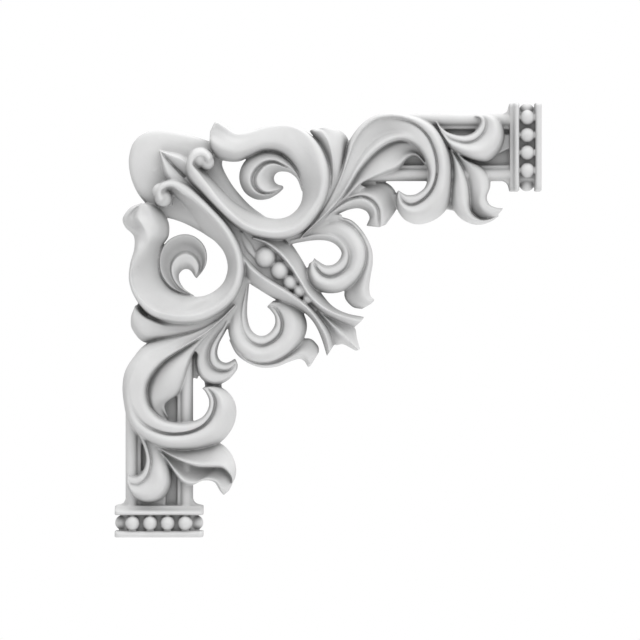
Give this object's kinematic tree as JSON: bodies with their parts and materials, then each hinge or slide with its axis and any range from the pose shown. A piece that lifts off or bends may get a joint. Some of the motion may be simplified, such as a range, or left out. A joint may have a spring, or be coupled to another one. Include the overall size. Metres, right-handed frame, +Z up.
{
  "type": "moulding corner",
  "caption": "Carved leaf-scroll corner for panel moulding, cast in plaster, with a reeded arm along each side that ends in a beaded collar; fixed flat to a wall or ceiling.",
  "frame": {"origin": "on the flat back, where the centre lines of the level and the downward arm cross", "axes": "+X along the level arm, away from the corner; +Z up; the downward arm runs along -Z; the back lies on y = 0 and faces +Y, and the relief stands out towards -Y"},
  "size_m": [0.299, 0.0246, 0.3045],
  "materials": {
    "plaster": "matt cast plaster, unpainted white"
  },
  "bodies": {
    "root": {"corner_moulding": "plaster"}
  },
  "joints": []
}
